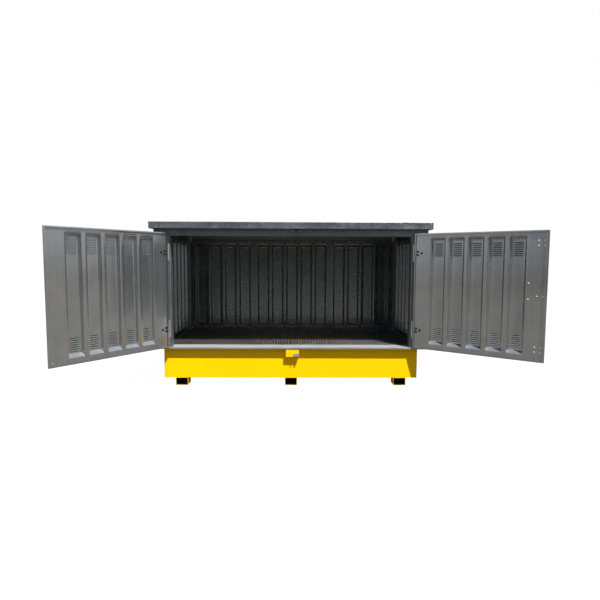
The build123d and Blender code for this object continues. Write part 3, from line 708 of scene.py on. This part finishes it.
# ---------------------------------------------------------------- gratings
def build_grating(name, rng):
    """Bearing bars with eased edges, twisted cross rods and a banding frame."""
    low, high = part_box(name)
    width, length = high.x - low.x, high.y - low.y
    bar, ease = 4 * MM, 0.7 * MM
    shells = Shells()
    count = round((width - bar) / (34 * MM))
    pitch = (width - bar) / count
    for i in range(count + 1):
        x = low.x + i * pitch
        inset = 0.0 if i in (0, count) else bar - 0.4 * MM
        shells.block((x, low.y + inset, low.z), (x + bar, high.y - inset, high.z - 0.3 * MM), ease)
    for y in (low.y, high.y - bar):
        shells.block((low.x + bar * 0.9, y, low.z), (high.x - bar * 0.9, y + bar, high.z - 0.3 * MM), ease)
    rows = round(length / (74 * MM))
    side = 4.3 * MM
    for i in range(1, rows):
        y = low.y + i * length / rows
        phase = rng.uniform(0, math.pi / 2)
        z = high.z - 4.2 * MM
        steps = count * 6
        x0, x1 = low.x + 1 * MM, high.x - 1 * MM
        verts = []
        for j in range(steps + 1):
            angle = phase + math.pi / 2 * j / 6
            for corner in range(4):
                turn = angle + math.pi / 2 * corner
                verts.append((
                    x0 + (x1 - x0) * j / steps,
                    y + side * 0.72 * math.cos(turn),
                    z + side * 0.72 * math.sin(turn),
                ))
        faces = [[3, 2, 1, 0], [steps * 4 + k for k in range(4)]]
        for j in range(steps):
            for k in range(4):
                n = (k + 1) % 4
                faces.append([j * 4 + k, j * 4 + n, j * 4 + 4 + n, j * 4 + 4 + k])
        shells.add(verts, faces)
    panel = shells.build(name + "_finish")
    shade(panel, 40)
    place(panel, frame["nodes"][name]["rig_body"], "galvanised_grating", [name])


# ---------------------------------------------------------------- roof flashing
def build_fascia():
    """Front fascia: folded strip with soft bends, a hemmed drip edge, small dents and closed ends."""
    low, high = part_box("roof_fascia")
    y, z0, z1 = low.y, low.z, high.z
    r = 3 * MM
    t = 2 * MM
    outline = [(y + 46 * MM, z1), (y, z1), (y, z0), (y + 22 * MM, z0), (y + 22 * MM, z0 + 10 * MM)]
    path = [outline[0]]
    for before, corner, after in zip(outline, outline[1:], outline[2:]):
        before, corner, after = Vector(before), Vector(corner), Vector(after)
        a = corner + (before - corner).normalized() * r
        b = corner + (after - corner).normalized() * r
        centre = a + b - corner
        for i in range(7):
            angle = math.pi / 2 * i / 6
            path.append(tuple(centre + (a - centre) * math.cos(angle) + (b - centre) * math.sin(angle)))
    path.append(outline[-1])
    fine = []
    for (ya, za), (yb, zb) in zip(path, path[1:]):
        steps = max(1, math.ceil(math.hypot(yb - ya, zb - za) / (9 * MM)))
        fine += [(ya + (yb - ya) * i / steps, za + (zb - za) * i / steps) for i in range(steps)]
    fine.append(path[-1])
    columns = np.linspace(low.x + 2 * MM, high.x - 2 * MM, 420)
    rng = random.Random(4)
    dents = [(rng.uniform(low.x, high.x), rng.uniform(z0 + 6 * MM, z1 - 8 * MM), rng.uniform(12, 45) * MM,
              rng.uniform(0.4, 1.5) * MM) for _ in range(46)]
    verts = []
    for x in columns:
        wave = 0.5 * MM * math.sin(x * 5.1) + 0.35 * MM * math.sin(x * 13.7 + 1.0)
        for fy, fz in fine:
            push = 0.0
            if fy < y + 2 * MM:
                face = 1 - abs(fz - (z0 + z1) / 2) / ((z1 - z0) / 2)
                push += (wave + 0.9 * MM) * max(face, 0.0) ** 0.5
                for dx, dz, size, deep in dents:
                    far = ((x - dx) / (1.7 * size)) ** 2 + ((fz - dz) / size) ** 2
                    if far < 4:
                        push += deep * math.exp(-1.6 * far)
            drop = 0.25 * MM * math.sin(x * 9.0 + 2.0) if fz < z0 + 3 * MM else 0.0
            verts.append((x, fy + push, fz + abs(drop)))
    depth = len(fine)
    faces = []
    for j in range(len(columns) - 1):
        for i in range(depth - 1):
            a = j * depth + i
            faces.append((a, a + 1, a + depth + 1, a + depth))
    strip = mesh_from("roof_fascia_finish", verts, faces)
    work = bmesh.new()
    work.from_mesh(strip.data)
    bmesh.ops.recalc_face_normals(work, faces=work.faces)
    front = min(work.faces, key=lambda f: f.calc_center_median().y)
    if front.normal.y > 0:
        bmesh.ops.reverse_faces(work, faces=work.faces)
    work.to_mesh(strip.data)
    work.free()
    thick = strip.modifiers.new("sheet", "SOLIDIFY")
    thick.thickness = t
    thick.offset = -1
    apply_modifiers(strip)
    shade(strip)
    place(strip, "housing", "roof_flashing", ["roof_fascia"])
    ends = Shells()
    for side, x in ((-1, low.x), (1, high.x)):
        inner = x - side * 2 * MM
        a, b = min(x, inner), max(x, inner)
        ends.block((a, y + 1 * MM, z0 + 1 * MM), (b, y + 44 * MM, z1 - 1 * MM), 0.6 * MM)
        tab = x - side * 30 * MM
        a, b = min(x - side * 1 * MM, tab), max(x - side * 1 * MM, tab)
        ends.block((a, y - 0.4 * MM, z0 + 4 * MM), (b, y + 1 * MM, z1 - 4 * MM), 0.5 * MM)
        for z in (z0 + 18 * MM, z1 - 20 * MM):
            dome(ends, (x - side * 18 * MM, y + 0.2 * MM, z), (0, -1, 0), 4 * MM, 1.2 * MM, 14)
    caps = ends.build("fascia_end_caps")
    shade(caps)
    place(caps, "housing", "roof_flashing")


def build_roof_screws():
    """Self-drilling screws with bonded washers along the purlins and both edges of the roof."""
    shells = Shells()
    vertices = [v.co for v in frame["nodes"]["roof_sheet"].data.vertices]
    low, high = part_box("roof_sheet")
    front = max(v.z for v in vertices if v.y < low.y + 1 * MM)
    rear = max(v.z for v in vertices if v.y > high.y - 1 * MM)
    fall = (front - rear) / (high.y - low.y)
    pan_drop = 20 * MM
    half = (high.x - low.x) / 2
    count = int(2 * half // ROOF_RIB_PITCH)
    for y in (low.y + 70 * MM, -0.58, 0.02, high.y - 40 * MM):
        for i in range(count - 1):
            x = (i - (count - 2) / 2) * ROOF_RIB_PITCH
            z = front - fall * (y - low.y) - pan_drop
            washer(shells, (x, y, z), (0, 0, 1), 8 * MM, 2 * MM)
            hexagon(shells, (x, y, z + 2 * MM), (0, 0, 1), 4.6 * MM, 4.4 * MM)
    screws = shells.build("roof_screws")
    shade(screws)
    place(screws, "housing", "zinc_fitting")


# ---------------------------------------------------------------- small frame details
def build_wall_rivets():
    """Blind rivets that hold the wall sheets to the frame, in and outside."""
    shells = Shells()
    heights = (470 * MM, 1690 * MM)
    rear_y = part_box("rear_wall_middle")[0].y
    for z in heights:
        for i in range(-7, 8):
            x = i * 203 * MM - math.copysign(0, i)
            for y, d in ((rear_y, -1), (rear_y + SKIN, 1)):
                dome(shells, (x, y, z), (0, d, 0), 4.5 * MM, 2 * MM, 12)
        for side in (-1, 1):
            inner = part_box("side_wall_right")[0].x
            for i in range(7):
                y = 5 * MM + (i - 3) * 203 * MM
                for x, d in ((inner, -1), (inner + SKIN, 1)):
                    dome(shells, (side * x, y, z), (side * d, 0, 0), 4.5 * MM, 2 * MM, 12)
    rivets = shells.build("wall_rivets")
    shade(rivets)
    place(rivets, "housing", "zinc_fitting")


def build_welds():
    """Painted beads at the feet and the keeper bracket, grey beads at the post feet."""
    rng = random.Random(7)
    yellow = Shells()
    for row in ("front", "rear"):
        for column in ("left", "middle", "right"):
            low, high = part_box(f"foot_{row}_{column}")
            for x in (low.x, high.x):
                yellow.bead((x, low.y + 4 * MM, high.z), (x, high.y - 4 * MM, high.z), 3 * MM, rng)
            y = high.y if row == "front" else low.y
            yellow.bead((low.x + 4 * MM, y, high.z), (high.x - 4 * MM, y, high.z), 3 * MM, rng)
    low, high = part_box("keeper_bracket")
    y = high.y
    for x in (low.x, high.x):
        yellow.bead((x, y, low.z), (x, y, high.z), 2.6 * MM, rng)
    yellow.bead((low.x, y, high.z), (high.x, y, high.z), 2.6 * MM, rng)
    beads = yellow.build("sump_welds")
    shade(beads, 60)
    place(beads, "housing", "sump_yellow")
    grey = Shells()
    for corner in ("front_left", "front_right", "rear_left", "rear_right"):
        low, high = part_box(f"post_{corner}")
        z = low.z
        for y in (low.y, high.y):
            grey.bead((low.x + 5 * MM, y, z), (high.x - 5 * MM, y, z), 2 * MM, rng)
        for x in (low.x, high.x):
            grey.bead((x, low.y + 5 * MM, z), (x, high.y - 5 * MM, z), 2 * MM, rng)
    beads = grey.build("frame_welds")
    shade(beads, 60)
    place(beads, "housing", "galvanised_frame")


def second_finish(obj, material, chosen):
    """Gives the faces picked by the test another finish."""
    obj.data.materials.append(material)
    for face in obj.data.polygons:
        if chosen(face):
            face.material_index = 1


def foot_inside(low, high):
    """Test for faces wholly inside a foot's open box."""
    margin = 3 * MM

    def chosen(face):
        c = face.center
        inside_x = low.x + margin < c.x < high.x - margin
        inside_z = low.z + margin < c.z < high.z - margin
        at_end = min(abs(c.y - low.y), abs(c.y - high.y)) < 0.5 * MM and abs(face.normal.y) > 0.9
        return inside_x and inside_z and not at_end
    return chosen


# ---------------------------------------------------------------- assemble
build_door("left")
build_door("right")
build_hinge_bolts("left")
build_hinge_bolts("right")
build_lock_bolts()
build_door_rivets()

REAR = Matrix.Translation((0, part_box("rear_wall_middle")[0].y, 0)) @ Matrix.Rotation(math.pi, 4, "Z")
SIDE = Matrix.Translation((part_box("side_wall_right")[0].x, 0, 0)) @ Matrix.Rotation(math.pi / 2, 4, "Z")
rear_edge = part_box("rear_wall_right")[1].x
side_low, side_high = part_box("side_wall_right")
build_wall("rear_wall_middle", (-REAR_SPLIT, REAR_SPLIT), 5, REAR)
build_wall("rear_wall_right", (-rear_edge, -REAR_SPLIT), 4, REAR)
build_wall("rear_wall_left", (-rear_edge, -REAR_SPLIT), 4, MIRROR @ REAR)
build_wall("side_wall_right", (side_low.y, side_high.y), 6, SIDE)
build_wall("side_wall_left", (side_low.y, side_high.y), 6, MIRROR @ SIDE)

grating_rng = random.Random(11)
for number in range(1, 5):
    build_grating(f"grating_{number}", grating_rng)

build_fascia()
build_roof_screws()
build_wall_rivets()
build_welds()

soften("sump_tray", 1.3 * MM, "sump_yellow")
for row in ("front", "rear"):
    for column in ("left", "middle", "right"):
        foot_name = f"foot_{row}_{column}"
        foot = soften(foot_name, 1.2 * MM, "sump_yellow")
        # The inner faces of each foot get the near-black painted shade.
        second_finish(foot, FOOT_PAINTED_SHADE, foot_inside(*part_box(foot_name)))
soften("keeper_bracket", 2.2 * MM, "sump_yellow", segments=3)
soften("bearers", 1.2 * MM, "galvanised_grating")
# Painted highlight on the sill's top, painted shade on its lip and other faces that don't point up.
sill = soften("front_sill", 1.3 * MM, "galvanised_frame", SILL_PAINTED_HIGHLIGHT)
second_finish(sill, SILL_PAINTED_SHADE, lambda face: face.normal.z < 0.7)
for piece in ("rear_base_rail", "side_base_rail_left", "side_base_rail_right"):
    soften(piece, 1.3 * MM, "galvanised_frame")
for piece in ("header", "top_rail_rear", "top_rail_left", "top_rail_right"):
    soften(piece, 1.3 * MM, "galvanised_frame")
for corner in ("front_left", "front_right", "rear_left", "rear_right"):
    soften(f"post_{corner}", 1.2 * MM, "galvanised_frame")
for piece in ("roof_verge_left", "roof_verge_right", "roof_rear_edge"):
    soften(piece, 0.8 * MM, "roof_flashing")
soften("roof_sheet", 0.8 * MM, "roof_sheet")
soften("roof_purlins", 1.0 * MM, "roof_sheet")
for side in ("left", "right"):
    for level in ("lower", "upper"):
        soften(f"hinge_plate_{side}_{level}", 1.0 * MM, "zinc_fitting")
        soften(f"hinge_strap_{side}_{level}", 1.0 * MM, "zinc_fitting")
for piece in ("hinge_pins", "keeper_lower", "lock_guides", "lock_rod_lower", "lock_rod_upper"):
    soften(piece, 0.9 * MM, "zinc_fitting")
soften("pull_handle", 1.2 * MM, "zinc_fitting", segments=3)
keeper = soften("keeper_upper", 0.9 * MM, "zinc_fitting", KEEPER_GREY)
keeper_x = sum(c.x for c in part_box("keeper_upper")) / 2
HEAD_FROM_MIDDLE = 32.9 * MM
HEAD_FACE_AREA = 2e-4


def on_bolt_head(face):
    """True for the small faces of the upper keeper's two bolt heads."""
    return abs(face.center.x - keeper_x) > HEAD_FROM_MIDDLE and face.area < HEAD_FACE_AREA


# The keeper's bolt heads get the whitened finish, a painted glint.
second_finish(keeper, BOLT_PAINTED_GLINT, on_bolt_head)

# ---------------------------------------------------------------- stage, light and camera
FLOOR_HALF = 14.0
floor = mesh_from(
    "floor",
    [(x * FLOOR_HALF, y * FLOOR_HALF, 0) for x, y in ((-1, -1), (1, -1), (1, 1), (-1, 1))],
    [(0, 1, 2, 3)],
)
ground = bpy.data.materials.new("pale_floor")
ground.use_nodes = True
tree = ground.node_tree
tree.nodes.clear()
pale = node(tree, "BsdfDiffuse", {"Color": (0.05, 0.05, 0.05, 1)}).outputs[0]
glow = node(tree, "Emission", {"Color": (1, 1, 1, 1), "Strength": 0.98}).outputs[0]
seen = node(tree, "AddShader", {0: pale, 1: glow}).outputs[0]
bounce = node(tree, "BsdfDiffuse", {"Color": (0.10, 0.097, 0.09, 1)}).outputs[0]
is_camera = node(tree, "LightPath").outputs["Is Camera Ray"]
surface = node(tree, "MixShader", {0: is_camera, 1: bounce, 2: seen}).outputs[0]
output = tree.nodes.new("ShaderNodeOutputMaterial")
tree.links.new(surface, output.inputs[0])
floor.data.materials.append(ground)

world = bpy.data.worlds.new("studio")
bpy.context.scene.world = world
world.use_nodes = True
tree = world.node_tree
tree.nodes.clear()
direction = node(tree, "TexCoord").outputs["Generated"]
xyz = node(tree, "SeparateXYZ", {0: direction})
up = xyz.outputs[2]
ramp = node(tree, "ValToRGB", {0: ranged(tree, up, 0.0, 1.0, -1.0, 1.0)})
stops = [
    (0.0, (0.20, 0.18, 0.155)), (0.485, (0.26, 0.24, 0.215)), (0.505, (0.40, 0.41, 0.42)),
    (0.58, (0.44, 0.49, 0.56)), (0.75, (0.38, 0.46, 0.58)), (1.0, (0.34, 0.43, 0.58)),
]
while len(ramp.color_ramp.elements) < len(stops):
    ramp.color_ramp.elements.new(0.5)
for element, (position, colour) in zip(ramp.color_ramp.elements, stops):
    element.position = position
    element.color = (*colour, 1)
from_left = math_node(tree, "MULTIPLY", xyz.outputs[0], -0.2)
behind = math_node(tree, "SUBTRACT", from_left, math_node(tree, "MULTIPLY", xyz.outputs[1], 0.98))
shade_front = ranged(tree, behind, 0.0, 1.0, 0.74, 0.97)
low_only = ranged(tree, up, 1.0, 0.0, 0.12, 0.42)
patch = math_node(tree, "MULTIPLY", shade_front, low_only)
light_colour = mix_colour(tree, patch, ramp.outputs[0], (0.035, 0.045, 0.038))
ambient = node(tree, "Background", {"Color": light_colour, "Strength": 1.0}).outputs[0]
white = node(tree, "Background", {"Color": (1, 1, 1, 1), "Strength": 1.0}).outputs[0]
is_camera = node(tree, "LightPath").outputs["Is Camera Ray"]
mixed = node(tree, "MixShader", {0: is_camera, 1: ambient, 2: white}).outputs[0]
output = tree.nodes.new("ShaderNodeOutputWorld")
tree.links.new(mixed, output.inputs[0])

sun_data = bpy.data.lights.new("key", "SUN")
SUN_STRENGTH, SUN_DEGREES = 9.0, 0.9
SUN_HEADING = (-33, 48, -109)
sun_data.energy = SUN_STRENGTH
sun_data.angle = math.radians(SUN_DEGREES)
sun_data.color = (1.0, 0.97, 0.92)
sun = bpy.data.objects.new("key", sun_data)
bpy.context.scene.collection.objects.link(sun)
sun.rotation_euler = Vector(SUN_HEADING).to_track_quat("-Z", "Y").to_euler()

PITCH, YAW, ROLL = math.radians(4.83), math.radians(0.62), math.radians(0.24)
forward = Vector((math.sin(YAW) * math.cos(PITCH), math.cos(YAW) * math.cos(PITCH), -math.sin(PITCH)))
level = forward.cross(Vector((0, 0, 1))).normalized()
upward = level.cross(forward)
right = level * math.cos(ROLL) + upward * math.sin(ROLL)
top = upward * math.cos(ROLL) - level * math.sin(ROLL)
camera_data = bpy.data.cameras.new("camera")
SENSOR_MM, LENS_MM = 36, 28.75
CAMERA_PLACE = (0.0416, -6.141, 1.449)
camera_data.sensor_width = SENSOR_MM
camera_data.lens = LENS_MM
camera = bpy.data.objects.new("camera", camera_data)
bpy.context.scene.collection.objects.link(camera)
axes = Matrix((right, top, -forward)).transposed().to_4x4()
camera.matrix_world = Matrix.Translation(CAMERA_PLACE) @ axes
bpy.context.scene.camera = camera
bpy.context.scene.view_settings.view_transform = "Standard"
